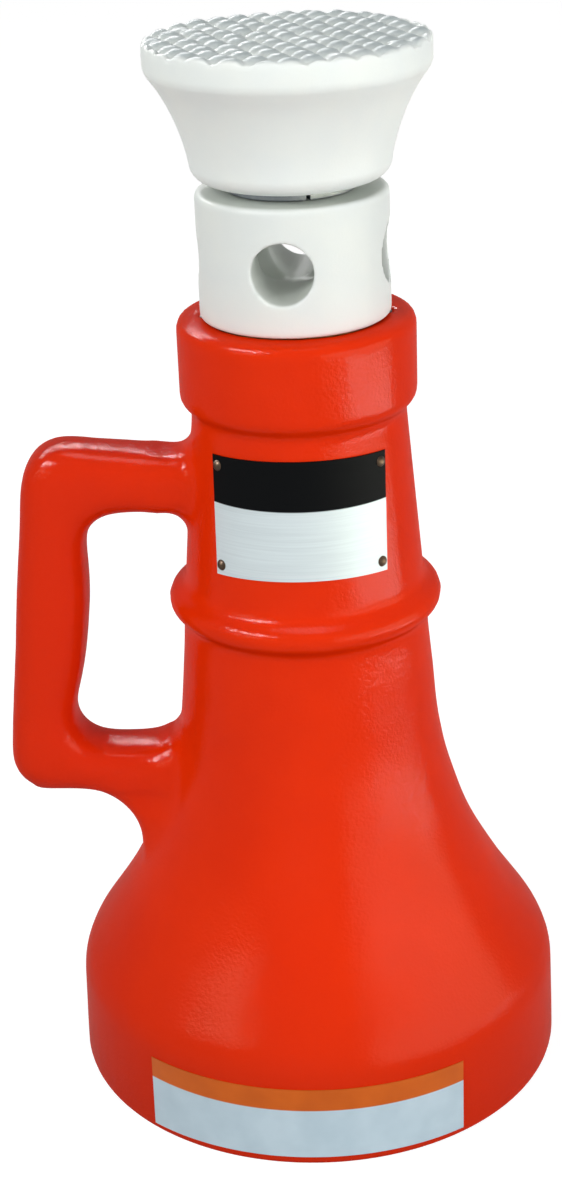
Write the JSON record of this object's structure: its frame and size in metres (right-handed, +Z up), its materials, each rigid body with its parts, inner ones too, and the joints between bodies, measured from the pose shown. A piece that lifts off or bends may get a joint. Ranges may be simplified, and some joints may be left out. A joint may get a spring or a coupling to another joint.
{
  "type": "screw jack",
  "caption": "Bell-base screw jack: cast body with loop handle, cross-drilled lifting screw turned by a bar, and a flared serrated cap that swivels.",
  "frame": {"origin": "on the screw's axis, at the floor under the bell's rim", "axes": "+Z up along the screw, the nameplate faces -Y, the handle points to -X"},
  "size_m": [0.1688, 0.1522, 0.32],
  "materials": {
    "red_enamel": "glossy red-orange enamel on cast iron",
    "white_enamel": "satin off-white enamel on steel",
    "bronze": "machined bearing bronze",
    "bright_steel": "turned steel",
    "plate_aluminium": "brushed aluminium with a black band",
    "dark_rivet": "dark oxidised drive rivet",
    "decal_film": "two-tone vinyl film, orange over pale grey-blue"
  },
  "bodies": {
    "housing": {"housing": "red_enamel", "lifting_nut": "bronze", "nut_lock_screw_1": "bright_steel", "nut_lock_screw_2": "bright_steel", "nameplate": "plate_aluminium", "nameplate_rivet_1": "dark_rivet", "nameplate_rivet_2": "dark_rivet", "nameplate_rivet_3": "dark_rivet", "nameplate_rivet_4": "dark_rivet", "base_decal": "decal_film"},
    "swivel_bearing": {"cap_bush": "bright_steel", "cap_thrust_washer": "bronze"},
    "screw": {"lifting_screw": "white_enamel", "cap_retaining_ring": "bright_steel", "stop_washer": "bright_steel", "stop_lock_washer": "bright_steel", "stop_bolt": "bright_steel"},
    "cap": {"load_cap": "white_enamel"}
  },
  "joints": [
    {"name": "lift", "type": "slide", "parent": "housing", "child": "swivel_bearing", "axis": [0, 0, 1], "range_m": [0, 0.138]},
    {"name": "screw_turn", "type": "hinge", "parent": "swivel_bearing", "child": "screw", "pos_m": [0, 0, 0.241], "axis": [0, 0, 1], "range_deg": [0, 8280]},
    {"name": "cap_swivel", "type": "hinge", "parent": "swivel_bearing", "child": "cap", "pos_m": [0, 0, 0.3], "axis": [0, 0, 1], "continuous": true}
  ],
  "couplings": [
    {"joint": "lift", "follows": "screw_turn", "m_per_rad": 0.00095493}
  ]
}
